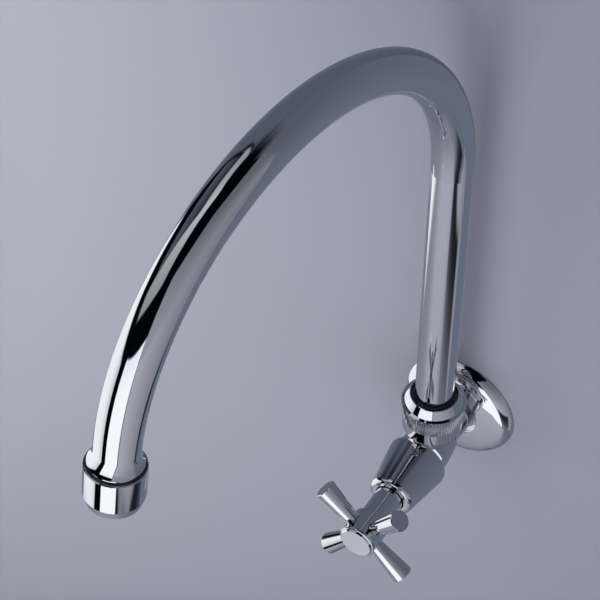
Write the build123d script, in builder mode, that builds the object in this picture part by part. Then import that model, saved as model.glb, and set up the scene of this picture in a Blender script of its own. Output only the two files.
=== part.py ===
from build123d import *
import os
from math import cos, pi, radians, sin, sqrt

os.makedirs("parts", exist_ok=True)

# Wall-mounted kitchen tap, in millimetres. The wall is the plane Y = 0 and the tap stands out along -Y,
# with +Z up. The inlet shank and the valve share one level axis through the origin.
# A station is a distance out from the wall along that axis. A height is measured up from that axis.

# Fits
running_gap = 0.05          # radial, where one piece turns or slides in another
screw_gap = 0.04            # radial, between a screwed, soldered or pressed piece and its hole
seat_gap = 0.1              # between faces that nearly meet, on pieces that move or squeeze
driver_gap = 0.4            # radial, round a screw head

# Spout
projection = 28.9           # wall to the riser
tube_r = 9.0
tube_wall = 1.0
bend_start = 179.8          # height where the riser ends
bend_r = 104.7
bend_angle = 172.7
swivel_rest = -6.4          # the spout's angle as photographed, off straight out
flare_length = 5.25
flare_r = 10.85
flare_rim = 1.2             # plain rim below the flare
flare_steps = 6

# Outlet
sleeve_gasket_thickness = 0.45   # black line between the rim of the flare and the sleeve
sleeve_gasket_r = 11.6
insert_lap = 3.5            # how far the insert reaches up into the flare
insert_gap = 0.15
insert_bore_r = 7.6
outlet_thread_r = 10.9
outlet_thread_length = 5.5
sleeve_r = 11.95
sleeve_length = 14.3
sleeve_edge = 0.35
sleeve_bore_r = 10.0
mouth_ring_r = 11.4
mouth_end_r = 10.6
mouth_ring_length = 4.1
mouth_edge = 0.4
mouth_lip = 1.0
mouth_r = 9.5
washer_thickness = 1.6
washer_bore_r = 7.8
cup_flange = 1.0
cup_r = 9.6
mixing_gap = 1.0            # from the cup to the screens
cup_wall = 1.0
cup_hole_r = 0.7
cup_hole_circle_r = 6.4
cup_holes = 12
grid_length = 2.6
grid_pitch = 3.6
grid_rib = 0.8
grid_rim = 0.9
screen_pack = 1.2
screen_thickness = 0.35
screen_pitch = 2.4
screen_hole = 1.6

# Shank and barrel
thread_r = 10.478           # G 1/2
thread_length = 14.0        # behind the wall
thread_lap = 0.5            # thread that stands out of the wall plane
thread_chamfer = 1.0
relief_r = 9.3
relief_width = 1.5
neck_r = 9.4
barrel_back = 20.4
barrel_back_r = 10.0
barrel_belly = 28.0
barrel_belly_r = 11.3
barrel_front = 43.0
barrel_front_r = 12.0
inlet_r = 6.5
inlet_end = 13.5
orifice_r = 4.8
seat_face = 18.2
seat_lip_r = 6.2
seat_lip_height = 1.2
chamber_r = 8.0
head_thread_r = 9.6
head_thread_length = 8.0

# Turret that carries the spout
port_r = 6.0
turret_r = 8.5
turret_foot = 13.0
collar_r = 13.9
collar_foot = 15.8
collar_top = 22.0
turret_thread_r = 12.0
turret_top = 27.0
socket_floor = 17.6

# Foot of the spout
tail_r = 9.5
tail_flange_r = 11.3
tail_flange = 2.3
tail_spigot = 8.0
seal_section_r = 0.8
seal_groove_width = 1.9
seal_groove_depth = 1.65
seal_heights = (19.9, 23.9)
slip_ring_height = 2.2
slip_ring_r = 11.7

# Spout nut
nut_shelf = 1.8
nut_hole_r = 9.6
nut_rim_height = 4.8        # from the foot of the shelf to the rim
nut_rim_inner_r = 10.9
nut_rim_r = 11.35
nut_bevel = 4.0
nut_bevel_r = 13.45
nut_crown_r = 15.1
nut_crown_drop = 0.7
nut_crown_edge = 0.4
nut_skirt_r = 14.1
reed_count = 72
reed_depth = 0.9            # at the crown
reed_foot_depth = 0.25
reed_share = 0.4            # half width of a groove, as a share of the pitch
dust_ring_height = 1.5
dust_ring_edge = 0.6

# Wall flange
flange_r = 28.5
flange_face = 6.2           # wall to the inner edge of the nearly flat face
flange_face_bulge = 0.2     # of the face over a straight line
flange_crease = 5.2         # wall to the crease, where the face turns down into the rounded edge
flange_crease_r = 25.2
flange_crease_edge = 2.0
flange_edge_bulge = 0.67
flange_wall = 1.2
flange_hole_r = 11.6
flange_sleeve = 3.4
flange_recess = 1.3         # from the edge of the hole in to the sleeve
gasket_thickness = 1.2
gasket_width = 3.6

# Valve head
head_gasket_thickness = 1.0
head_gasket_r = 11.8
head_hex = 20.0             # across flats
head_hex_length = 6.0
head_neck_r = 8.0
head_neck_length = 8.0
head_web = 5.6              # solid length between the spindle's thread and the packing
packing_r = 5.6
packing_length = 2.6
gland_thread_length = 3.0
gland_hex = 12.0
gland_head = 2.8

# Valve plate
seat_washer_thickness = 3.0
seat_washer_r = 6.4
plate_r = 6.6
plate_thickness = 2.0
plate_stem_r = 2.5
plate_stem_length = 9.0
plate_screw_r = 1.8
plate_screw_end = 0.2       # screw that shows past its nut
washer_nut_hex = 6.0
washer_nut_length = 1.8

# Bonnet cover
cover_lap = 4.5             # how far it reaches back over the barrel
cover_back_r = 13.0
cover_shoulder_run = 2.9
cover_shoulder_r = 14.6
cover_length = 28.1
cover_front_r = 10.6
cover_wall = 1.3
cover_face = 1.5
cover_hole_r = 7.35
cover_web = 4.0
cover_web_setback = 5.0     # from the end of the head's neck back to the web
cover_front_edge = 2.2
cover_shoulder_edge = 2.4
cover_back_edge = 0.6

# Handle
stroke = 3.5                # how far the handle and the valve plate rise
spindle_thread_r = 5.5
spindle_thread_length = 19.0
spindle_r = 4.0
spindle_bore_end = 1.0      # room past the stem of the valve plate
drive_square = 5.6
drive_start = 0.8           # from the gland nut to the square
drive_length = 15.3
drive_web = 3.0
stem_gap = 1.5              # from the gland nut to the hub
stem_r = 6.8
stem_length = 20.2
hub_r = 8.7
hub_length = 13.0
hub_edge = 0.5
handle_screw_r = 1.9
handle_screw_length = 12.5
handle_screw_head_r = 3.8
handle_screw_head = 2.6
handle_screw_end = 1.5      # room past the end of the screw
arm_count = 4
arm_start_angle = 50.0
arm_setback = 6.2           # from the front of the hub back to the arms
arm_root_r = 3.2
arm_tip_r = 4.95
arm_root = 7.6              # hub axis to the seat of an arm
arm_tip = 27.5
arm_edge = 0.3
arm_spigot_r = 2.2
arm_spigot = 2.0
spot_gap = 0.3
cap_r = 8.8
cap_rim = 0.7
cap_rim_edge = 0.6
cap_bevel = 0.8
cap_bevel_r = 8.1
cap_face_r = 7.4
cap_spigot_r = 6.0
cap_spigot = 2.2
cap_wall = 0.9

# Axes and planes
valve_axis = Axis((0, 0, 0), (0, -1, 0))
valve_section = Plane(origin=(0, 0, 0), x_dir=(0, -1, 0), z_dir=(-1, 0, 0))
riser_foot = Vector(0, -projection, 0)
riser_axis = Axis(riser_foot, (0, 0, 1))
riser_section = Plane(origin=riser_foot, x_dir=(1, 0, 0), z_dir=(0, -1, 0))


def station_plane(station):
    """Plane square to the valve axis, facing away from the wall."""
    return Plane(origin=(0, -station, 0), x_dir=(1, 0, 0), z_dir=(0, -1, 0))


def height_plane(height):
    """Level plane centred on the riser's axis."""
    return Plane(origin=riser_foot).offset(height)


def round_edge(piece, station, radius):
    """The circular edge of a piece turned on the valve axis."""
    return piece.edges().sort_by_distance((0, -station, -radius))[0]


def write(part, name):
    """Labels a finished piece and writes its file."""
    part.label = name
    export_step(part, "parts/" + name + ".step")


# Body casting: shank, neck and barrel turned on the valve axis, turret turned on the riser's axis
shank_end = flange_face - flange_recess
chamber_front = barrel_front - head_thread_length
with BuildPart() as tap_body:
    with BuildSketch(valve_section):
        with BuildLine():
            Polyline(
                (barrel_front, barrel_front_r),
                (barrel_front, 0),
                (-thread_length, 0),
                (-thread_length, thread_r - thread_chamfer),
                (thread_chamfer - thread_length, thread_r),
                (thread_lap, thread_r),
                (thread_lap, relief_r),
                (thread_lap + relief_width, relief_r),
                (thread_lap + relief_width, thread_r),
                (shank_end, thread_r),
                (shank_end, neck_r),
                (barrel_back, neck_r),
                (barrel_back, barrel_back_r),
            )
            ThreePointArc(
                (barrel_back, barrel_back_r),
                (barrel_belly, barrel_belly_r),
                (barrel_front, barrel_front_r),
            )
        make_face()
    revolve(axis=valve_axis)
    with BuildSketch(riser_section):
        with BuildLine():
            Polyline(
                (0, 0),
                (turret_r, 0),
                (turret_r, turret_foot),
                (collar_r, collar_foot),
                (collar_r, collar_top),
                (turret_thread_r, collar_top),
                (turret_thread_r, turret_top),
                (0, turret_top),
                close=True,
            )
        make_face()
    revolve(axis=riser_axis)
    # Waterway from the inlet through the seat to the valve chamber, with the raised seat left standing
    with BuildSketch(valve_section):
        with BuildLine():
            Polyline(
                (-thread_length, 0),
                (-thread_length, inlet_r),
                (inlet_end, inlet_r),
                (inlet_end + inlet_r - orifice_r, orifice_r),
                (seat_face, orifice_r),
                (seat_face, seat_lip_r),
                (seat_face - seat_lip_height, seat_lip_r),
                (seat_face - seat_lip_height, chamber_r),
                (chamber_front, chamber_r),
                (chamber_front, head_thread_r + screw_gap),
                (barrel_front, head_thread_r + screw_gap),
                (barrel_front, 0),
                close=True,
            )
        make_face()
    revolve(axis=valve_axis, mode=Mode.SUBTRACT)
    # Socket for the foot of the spout, open to the valve chamber below
    with BuildSketch(riser_section):
        with BuildLine():
            Polyline(
                (0, 0),
                (port_r, 0),
                (port_r, socket_floor),
                (tail_r + running_gap, socket_floor),
                (tail_r + running_gap, turret_top),
                (0, turret_top),
                close=True,
            )
        make_face()
    revolve(axis=riser_axis, mode=Mode.SUBTRACT)
write(tap_body.part, "tap_body")

# Wall flange: a thin cover with a nearly flat face and a rounded edge, and a sleeve that sits on the shank
flange_edge_inner_r = flange_r - flange_wall
flange_crease_inner_r = flange_crease_r - flange_wall / 2
with BuildPart() as wall_flange:
    with BuildSketch(valve_section):
        with BuildLine():
            SagittaArc((0, flange_r), (flange_crease, flange_crease_r), flange_edge_bulge)
            SagittaArc((flange_crease, flange_crease_r), (flange_face, flange_hole_r), flange_face_bulge)
            Polyline(
                (flange_face, flange_hole_r),
                (shank_end, flange_hole_r),
                (shank_end, thread_r + screw_gap),
                (shank_end - flange_sleeve, thread_r + screw_gap),
                (shank_end - flange_sleeve, flange_hole_r + flange_wall),
                (flange_face - flange_wall, flange_hole_r + flange_wall),
            )
            Line(
                (flange_face - flange_wall, flange_hole_r + flange_wall),
                (flange_crease - flange_wall, flange_crease_inner_r),
            )
            SagittaArc(
                (0, flange_edge_inner_r),
                (flange_crease - flange_wall, flange_crease_inner_r),
                flange_edge_bulge,
            )
            Line((0, flange_edge_inner_r), (0, flange_r))
        make_face()
    revolve(axis=valve_axis)
    fillet(round_edge(wall_flange, flange_crease, flange_crease_r), radius=flange_crease_edge)
write(wall_flange.part, "wall_flange")

# Soft ring between the flange and the wall
rim_share = gasket_thickness / (flange_crease - flange_wall)
gasket_r = flange_edge_inner_r - rim_share * (flange_edge_inner_r - flange_crease_inner_r) - seat_gap
with BuildPart() as flange_gasket:
    with BuildSketch(station_plane(0)):
        Circle(gasket_r)
        Circle(gasket_r - gasket_width, mode=Mode.SUBTRACT)
    extrude(amount=gasket_thickness)
write(flange_gasket.part, "flange_gasket")

# Foot of the spout: a flange that the nut holds down, a grooved spigot below, a short spigot in the tube
tail_foot = socket_floor + seat_gap
tail_seat = turret_top + seat_gap
tube_foot = tail_seat + tail_flange
tube_bore_r = tube_r - tube_wall
with BuildPart() as spout_tail:
    with BuildSketch(riser_section):
        with BuildLine():
            Polyline(
                (port_r, tail_foot),
                (tail_r, tail_foot),
                (tail_r, tail_seat),
                (tail_flange_r, tail_seat),
                (tail_flange_r, tube_foot),
                (tube_bore_r - screw_gap, tube_foot),
                (tube_bore_r - screw_gap, tube_foot + tail_spigot),
                (port_r, tube_foot + tail_spigot),
                close=True,
            )
        make_face()
    revolve(axis=riser_axis)
    for seal_height in seal_heights:
        with BuildSketch(height_plane(seal_height - seal_groove_width / 2)):
            Circle(tail_flange_r)
            Circle(tail_r - seal_groove_depth, mode=Mode.SUBTRACT)
        extrude(amount=seal_groove_width, mode=Mode.SUBTRACT)
write(spout_tail.part, "spout_tail")

for number, seal_height in enumerate(seal_heights, start=1):
    with BuildPart() as tail_seal:
        with BuildSketch(riser_section):
            with Locations((tail_r - seal_section_r, seal_height)):
                Circle(seal_section_r)
        revolve(axis=riser_axis)
    write(tail_seal.part, f"tail_seal_{number}")

# Plastic ring between the flange of the foot and the shelf in the nut
slip_ring_foot = tube_foot + seat_gap
with BuildPart() as slip_ring:
    with BuildSketch(height_plane(slip_ring_foot)):
        Circle(slip_ring_r)
        Circle(tube_r + seat_gap, mode=Mode.SUBTRACT)
    extrude(amount=slip_ring_height)
write(slip_ring.part, "slip_ring")

# Spout nut: plain bevel above, reeded skirt below
nut_foot = collar_top + seat_gap
nut_ceiling = slip_ring_foot + slip_ring_height + seat_gap
nut_recess = nut_ceiling + nut_shelf
nut_rim = nut_ceiling + nut_rim_height
nut_crown = nut_rim - nut_bevel - nut_crown_drop
skirt_taper = (nut_crown_r - nut_skirt_r) / (nut_crown - nut_crown_edge - nut_foot)
with BuildPart() as reed_cutter:
    for height, depth in ((nut_foot - reed_depth, reed_foot_depth), (nut_crown + reed_depth, reed_depth)):
        reeded_r = nut_skirt_r + skirt_taper * (height - nut_foot)
        groove_half_width = 2 * pi * reeded_r / reed_count * reed_share
        with BuildSketch(Plane.XY.offset(height)):
            with BuildLine():
                Polyline(
                    (reeded_r - depth, 0),
                    (reeded_r + depth, 2 * groove_half_width),
                    (reeded_r + depth, -2 * groove_half_width),
                    close=True,
                )
            make_face()
    loft()
with BuildPart() as spout_nut:
    with BuildSketch(riser_section):
        with BuildLine():
            Polyline(
                (turret_thread_r + screw_gap, nut_foot),
                (nut_skirt_r, nut_foot),
                (nut_crown_r, nut_crown - nut_crown_edge),
                (nut_crown_r - nut_crown_edge, nut_crown),
                (nut_bevel_r, nut_rim - nut_bevel),
                (nut_rim_r, nut_rim),
                (nut_rim_inner_r, nut_rim),
                (nut_rim_inner_r, nut_recess),
                (nut_hole_r, nut_recess),
                (nut_hole_r, nut_ceiling),
                (turret_thread_r + screw_gap, nut_ceiling),
                close=True,
            )
        make_face()
    revolve(axis=riser_axis)
    with Locations(riser_foot):
        with PolarLocations(0, reed_count):
            add(reed_cutter.part, mode=Mode.SUBTRACT)
write(spout_nut.part, "spout_nut")

# Black ring that lies in the recess of the nut and wipes the riser
with BuildPart() as dust_ring:
    with BuildSketch(height_plane(nut_recess)):
        Circle(nut_rim_inner_r - running_gap)
        Circle(tube_r + running_gap, mode=Mode.SUBTRACT)
    extrude(amount=dust_ring_height)
    fillet(dust_ring.edges().group_by(Axis.Z)[-1], radius=dust_ring_edge)
write(dust_ring.part, "dust_ring")

# Spout: riser, bend and flared end. Angles on the bend are 0 at the riser and grow along the flow.
swing = radians(swivel_rest)
outward = Vector(sin(swing), -cos(swing), 0)
sideways = Vector(cos(swing), sin(swing), 0)
upward = Vector(0, 0, 1)
flare_start = bend_angle - flare_length / bend_r * 180 / pi


def bend_point(angle):
    """Point on the centre line of the bend."""
    turned = radians(angle)
    across = bend_r * (1 - cos(turned))
    return riser_foot + outward * across + upward * (bend_start + bend_r * sin(turned))


def flow_direction(angle):
    """Direction of the water on the centre line of the bend."""
    turned = radians(angle)
    return outward * sin(turned) + upward * cos(turned)


def flare_outer_r(distance):
    """Outer radius of the flare, a hollow arc, at a distance down the flow from its start."""
    growth = flare_r - tube_r
    arc_r = (flare_length ** 2 + growth ** 2) / (2 * growth)
    return tube_r + arc_r - sqrt(arc_r ** 2 - distance ** 2)


flow = flow_direction(bend_angle)
with BuildPart() as spout_tube:
    with BuildLine():
        Line(riser_foot + upward * tube_foot, bend_point(0))
        ThreePointArc(bend_point(0), bend_point(flare_start / 2), bend_point(flare_start))
    with BuildSketch(height_plane(tube_foot)):
        Circle(tube_r)
        Circle(tube_bore_r, mode=Mode.SUBTRACT)
    sweep()
    for inset, step in ((0, Mode.ADD), (tube_wall, Mode.SUBTRACT)):
        for number in range(flare_steps + 1):
            share = number / flare_steps
            angle = flare_start + (bend_angle - flare_start) * share
            with BuildSketch(Plane(origin=bend_point(angle), x_dir=sideways, z_dir=flow_direction(angle))):
                Circle(flare_outer_r(flare_length * share) - inset)
        loft(mode=step)
        with BuildSketch(Plane(origin=bend_point(bend_angle), x_dir=sideways, z_dir=flow)):
            Circle(flare_r - inset)
        extrude(amount=flare_rim, mode=step)
write(spout_tube.part, "spout_tube")

# Outlet, straight on from the end of the bend. Sections are drawn as radius and distance down the flow,
# measured from the top of the sleeve.
outlet_top = bend_point(bend_angle) + flow * (flare_rim + sleeve_gasket_thickness)
outlet_axis = Axis(outlet_top, flow)
outlet_section = Plane(origin=outlet_top, x_dir=sideways, z_dir=sideways.cross(flow))


def outlet_plane(distance):
    """Plane square to the outlet's axis, facing down the flow."""
    return Plane(origin=outlet_top + flow * distance, x_dir=sideways, z_dir=flow)


# Threaded ring soldered into the flare
lap_top = -sleeve_gasket_thickness - flare_rim - insert_lap
lap_profile = []
for share in (1, 0.5, 0):
    lap_r = flare_outer_r(flare_length - insert_lap * share) - tube_wall - insert_gap
    lap_profile.append((lap_r, lap_top + insert_lap * (1 - share)))
with BuildPart() as outlet_insert:
    with BuildSketch(outlet_section):
        with BuildLine():
            Polyline(
                (insert_bore_r, lap_top),
                *lap_profile,
                (lap_profile[-1][0], 0),
                (outlet_thread_r, 0),
                (outlet_thread_r, outlet_thread_length),
                (insert_bore_r, outlet_thread_length),
                close=True,
            )
        make_face()
    revolve(axis=outlet_axis)
write(outlet_insert.part, "outlet_insert")

# Black ring squeezed between the rim of the flare and the sleeve
with BuildPart() as sleeve_gasket:
    with BuildSketch(outlet_plane(-sleeve_gasket_thickness)):
        Circle(sleeve_gasket_r)
        Circle(lap_profile[-1][0] + running_gap, mode=Mode.SUBTRACT)
    extrude(amount=sleeve_gasket_thickness)
write(sleeve_gasket.part, "sleeve_gasket")

# Aerator: washer, perforated cup, screens and grid, held in a sleeve that screws on the insert
washer_top = outlet_thread_length
cup_top = washer_top + washer_thickness
shell_shoulder = cup_top + cup_flange
mouth_floor = sleeve_length + mouth_ring_length - mouth_lip
grid_top = mouth_floor - grid_length
screen_top = grid_top - screen_pack
cup_depth = screen_top - shell_shoulder - mixing_gap
with BuildPart() as aerator_washer:
    with BuildSketch(outlet_plane(washer_top)):
        Circle(outlet_thread_r)
        Circle(washer_bore_r, mode=Mode.SUBTRACT)
    extrude(amount=washer_thickness)
write(aerator_washer.part, "aerator_washer")

with BuildPart() as aerator_diffuser:
    with BuildSketch(outlet_plane(cup_top)):
        Circle(outlet_thread_r)
    extrude(amount=cup_flange)
    with BuildSketch(outlet_plane(shell_shoulder)):
        Circle(cup_r)
    extrude(amount=cup_depth)
    with BuildSketch(outlet_plane(cup_top)):
        Circle(cup_r - cup_wall)
    extrude(amount=cup_flange + cup_depth - cup_wall, mode=Mode.SUBTRACT)
    with BuildSketch(outlet_plane(cup_top)):
        with PolarLocations(cup_hole_circle_r, cup_holes):
            Circle(cup_hole_r)
    extrude(amount=cup_flange + cup_depth, mode=Mode.SUBTRACT)
write(aerator_diffuser.part, "aerator_diffuser")

with BuildPart() as aerator_shell:
    with BuildSketch(outlet_section):
        with BuildLine():
            Polyline(
                (outlet_thread_r + screw_gap, 0),
                (sleeve_r - sleeve_edge, 0),
                (sleeve_r, sleeve_edge),
                (sleeve_r, sleeve_length - sleeve_edge),
                (sleeve_r - sleeve_edge, sleeve_length),
                (mouth_ring_r, sleeve_length),
                (mouth_end_r, mouth_floor + mouth_lip - mouth_edge),
                (mouth_end_r - mouth_edge, mouth_floor + mouth_lip),
                (mouth_r, mouth_floor + mouth_lip),
                (mouth_r, mouth_floor),
                (sleeve_bore_r, mouth_floor),
                (sleeve_bore_r, shell_shoulder),
                (outlet_thread_r + screw_gap, shell_shoulder),
                close=True,
            )
        make_face()
    revolve(axis=outlet_axis)
write(aerator_shell.part, "aerator_shell")

with BuildPart() as flow_straightener:
    with BuildSketch(outlet_plane(grid_top)):
        Circle(sleeve_bore_r - screw_gap)
    extrude(amount=grid_length)
    with BuildSketch(outlet_plane(grid_top)):
        with GridLocations(grid_pitch, grid_pitch, 5, 5):
            Rectangle(grid_pitch - grid_rib, grid_pitch - grid_rib)
        Circle(sleeve_bore_r - grid_rim, mode=Mode.INTERSECT)
    extrude(amount=grid_length, mode=Mode.SUBTRACT)
write(flow_straightener.part, "flow_straightener")

# Two fine discs in one crimped rim
with BuildPart() as aerator_screens:
    with BuildSketch(outlet_plane(screen_top)):
        Circle(sleeve_bore_r - screw_gap)
    extrude(amount=screen_pack)
    with BuildSketch(outlet_plane(screen_top + screen_thickness)):
        Circle(sleeve_bore_r - grid_rim)
    extrude(amount=screen_pack - 2 * screen_thickness, mode=Mode.SUBTRACT)
    with BuildSketch(outlet_plane(screen_top)):
        with GridLocations(screen_pitch, screen_pitch, 5, 5):
            Rectangle(screen_hole, screen_hole)
    extrude(amount=screen_pack, mode=Mode.SUBTRACT)
write(aerator_screens.part, "aerator_screens")

# Valve plate with its rubber washer, closed on the seat
seat_washer_back = seat_face + running_gap
plate_back = seat_washer_back + seat_washer_thickness
plate_front = plate_back + plate_thickness
washer_nut_back = seat_washer_back - washer_nut_length
with BuildPart() as seat_washer:
    with BuildSketch(station_plane(seat_washer_back)):
        Circle(seat_washer_r)
        Circle(plate_screw_r + screw_gap, mode=Mode.SUBTRACT)
    extrude(amount=seat_washer_thickness)
write(seat_washer.part, "seat_washer")

with BuildPart() as jumper_valve:
    with BuildSketch(station_plane(washer_nut_back - plate_screw_end)):
        Circle(plate_screw_r)
    extrude(amount=washer_nut_length + plate_screw_end + seat_washer_thickness)
    with BuildSketch(station_plane(plate_back)):
        Circle(plate_r)
    extrude(amount=plate_thickness)
    with BuildSketch(station_plane(plate_front)):
        Circle(plate_stem_r)
    extrude(amount=plate_stem_length)
write(jumper_valve.part, "jumper_valve")

with BuildPart() as washer_nut:
    with BuildSketch(station_plane(washer_nut_back)):
        RegularPolygon(washer_nut_hex / 2, 6, major_radius=False)
        Circle(plate_screw_r + screw_gap, mode=Mode.SUBTRACT)
    extrude(amount=washer_nut_length)
write(washer_nut.part, "washer_nut")

# Valve head: screws into the barrel and carries the spindle's thread, its packing and its gland nut
head_back = chamber_front + seat_gap
hex_back = barrel_front + head_gasket_thickness
neck_back = hex_back + head_hex_length
head_front = neck_back + head_neck_length
gland_back = head_front - gland_thread_length
packing_back = gland_back - seat_gap - packing_length
spindle_bore_front = packing_back - head_web
gland_seat = head_front + seat_gap
gland_front = gland_seat + gland_head
with BuildPart() as headwork_gasket:
    with BuildSketch(station_plane(barrel_front)):
        Circle(head_gasket_r)
        Circle(head_thread_r + screw_gap, mode=Mode.SUBTRACT)
    extrude(amount=head_gasket_thickness)
write(headwork_gasket.part, "headwork_gasket")

with BuildPart() as headwork_body:
    with BuildSketch(station_plane(head_back)):
        Circle(head_thread_r)
    extrude(amount=hex_back - head_back)
    with BuildSketch(station_plane(hex_back)):
        RegularPolygon(head_hex / 2, 6, major_radius=False)
    extrude(amount=head_hex_length)
    with BuildSketch(station_plane(neck_back)):
        Circle(head_neck_r)
    extrude(amount=head_neck_length)
    with BuildSketch(valve_section):
        with BuildLine():
            Polyline(
                (head_back, 0),
                (head_back, spindle_thread_r + running_gap),
                (spindle_bore_front, spindle_thread_r + running_gap),
                (spindle_bore_front, spindle_r + running_gap),
                (packing_back, spindle_r + running_gap),
                (packing_back, packing_r),
                (head_front, packing_r),
                (head_front, 0),
                close=True,
            )
        make_face()
    revolve(axis=valve_axis, mode=Mode.SUBTRACT)
write(headwork_body.part, "headwork_body")

with BuildPart() as gland_packing:
    with BuildSketch(station_plane(packing_back)):
        Circle(packing_r - running_gap)
        Circle(spindle_r + running_gap, mode=Mode.SUBTRACT)
    extrude(amount=packing_length)
write(gland_packing.part, "gland_packing")

with BuildPart() as gland_nut:
    with BuildSketch(station_plane(gland_back)):
        Circle(packing_r - screw_gap)
    extrude(amount=gland_seat - gland_back)
    with BuildSketch(station_plane(gland_seat)):
        RegularPolygon(gland_hex / 2, 6, major_radius=False)
    extrude(amount=gland_head)
    with BuildSketch(station_plane(gland_back)):
        Circle(spindle_r + running_gap)
    extrude(amount=gland_front - gland_back, mode=Mode.SUBTRACT)
write(gland_nut.part, "gland_nut")

# Bonnet cover, carried on the neck of the valve head by the web inside it
cover_back = barrel_front - cover_lap
cover_shoulder = cover_back + cover_shoulder_run
cover_front = cover_back + cover_length
cover_taper = (cover_shoulder_r - cover_front_r) / (cover_front - cover_shoulder)
cover_bore_r = barrel_front_r + seat_gap
web_back = head_front - cover_web_setback


def cover_inner_r(station):
    """Inside radius of the cone at a station in front of the shoulder."""
    return cover_shoulder_r - cover_wall - cover_taper * (station - cover_shoulder)


with BuildPart() as bonnet_cover:
    with BuildSketch(valve_section):
        with BuildLine():
            Polyline(
                (cover_back, cover_bore_r),
                (cover_back, cover_back_r),
                (cover_shoulder, cover_shoulder_r),
                (cover_front, cover_front_r),
                (cover_front, cover_hole_r),
                (cover_front - cover_face, cover_hole_r),
                (cover_front - cover_face, cover_inner_r(cover_front - cover_face)),
                (web_back + cover_web, cover_inner_r(web_back + cover_web)),
                (web_back + cover_web, head_neck_r + screw_gap),
                (web_back, head_neck_r + screw_gap),
                (web_back, cover_inner_r(web_back)),
                (cover_shoulder, cover_inner_r(cover_shoulder)),
                (cover_shoulder, cover_bore_r),
                close=True,
            )
        make_face()
    revolve(axis=valve_axis)
    fillet(round_edge(bonnet_cover, cover_front, cover_front_r), radius=cover_front_edge)
    fillet(round_edge(bonnet_cover, cover_shoulder, cover_shoulder_r), radius=cover_shoulder_edge)
    fillet(round_edge(bonnet_cover, cover_back, cover_back_r), radius=cover_back_edge)
write(bonnet_cover.part, "bonnet_cover")

# Spindle: screw at the back, square at the front for the handle
spindle_back = plate_front + seat_gap
drive_back = gland_front + drive_start
drive_front = drive_back + drive_length
screw_seat = drive_front + drive_web
with BuildPart() as spindle:
    with BuildSketch(station_plane(spindle_back)):
        Circle(spindle_thread_r)
    extrude(amount=spindle_thread_length)
    with BuildSketch(station_plane(spindle_back + spindle_thread_length)):
        Circle(spindle_r)
    extrude(amount=drive_back - spindle_back - spindle_thread_length)
    with BuildSketch(station_plane(drive_back)):
        Rectangle(drive_square, drive_square)
    extrude(amount=drive_length)
    with BuildSketch(station_plane(spindle_back)):
        Circle(plate_stem_r + running_gap)
    extrude(amount=plate_stem_length + spindle_bore_end, mode=Mode.SUBTRACT)
    with BuildSketch(station_plane(drive_front)):
        Circle(handle_screw_r + screw_gap)
    extrude(amount=drive_web - handle_screw_length - handle_screw_end, mode=Mode.SUBTRACT)
write(spindle.part, "spindle")

# Handle hub with its long stem
stem_back = gland_front + stem_gap
hub_back = stem_back + stem_length
hub_front = hub_back + hub_length
arm_station = hub_front - arm_setback
cap_recess = hub_front - cap_spigot - seat_gap
counterbore_r = handle_screw_head_r + driver_gap
arm_directions = []
for number in range(arm_count):
    turned = radians(arm_start_angle + 360 / arm_count * number)
    arm_directions.append(Vector(cos(turned), 0, sin(turned)))
arm_centre = Vector(0, -arm_station, 0)
with BuildPart() as handle_hub:
    with BuildSketch(valve_section):
        with BuildLine():
            Polyline(
                (stem_back, 0),
                (stem_back, stem_r),
                (hub_back, stem_r),
                (hub_back, hub_r - hub_edge),
                (hub_back + hub_edge, hub_r),
                (hub_front - hub_edge, hub_r),
                (hub_front, hub_r - hub_edge),
                (hub_front, cap_spigot_r + screw_gap),
                (cap_recess, cap_spigot_r + screw_gap),
                (cap_recess, counterbore_r),
                (screw_seat, counterbore_r),
                (screw_seat, 0),
                close=True,
            )
        make_face()
    revolve(axis=valve_axis)
    with BuildSketch(station_plane(stem_back)):
        Rectangle(drive_square + 2 * screw_gap, drive_square + 2 * screw_gap)
    extrude(amount=drive_front - stem_back, mode=Mode.SUBTRACT)
    with BuildSketch(station_plane(drive_front)):
        Circle(handle_screw_r + running_gap)
    extrude(amount=drive_web, mode=Mode.SUBTRACT)
    for arm_direction in arm_directions:
        with BuildSketch(Plane(origin=arm_centre + arm_direction * arm_root, z_dir=arm_direction)):
            Circle(arm_root_r + spot_gap)
        extrude(amount=arm_root, mode=Mode.SUBTRACT)
        with BuildSketch(Plane(origin=arm_centre + arm_direction * arm_root, z_dir=arm_direction)):
            Circle(arm_spigot_r + screw_gap)
        extrude(amount=-arm_spigot - seat_gap, mode=Mode.SUBTRACT)
write(handle_hub.part, "handle_hub")

for number, arm_direction in enumerate(arm_directions, start=1):
    with BuildPart() as handle_arm:
        with BuildSketch(Plane(origin=arm_centre, x_dir=arm_direction, z_dir=(0, -1, 0))):
            with BuildLine():
                Polyline(
                    (arm_root - arm_spigot, 0),
                    (arm_root - arm_spigot, arm_spigot_r),
                    (arm_root, arm_spigot_r),
                    (arm_root, arm_root_r),
                    (arm_tip - arm_edge, arm_tip_r),
                    (arm_tip, arm_tip_r - arm_edge),
                    (arm_tip, 0),
                    close=True,
                )
            make_face()
        revolve(axis=Axis(arm_centre, arm_direction))
    write(handle_arm.part, f"handle_arm_{number}")

with BuildPart() as handle_screw:
    with BuildSketch(station_plane(screw_seat)):
        Circle(handle_screw_head_r)
    extrude(amount=handle_screw_head)
    with BuildSketch(station_plane(screw_seat)):
        Circle(handle_screw_r)
    extrude(amount=-handle_screw_length)
write(handle_screw.part, "handle_screw")

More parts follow.
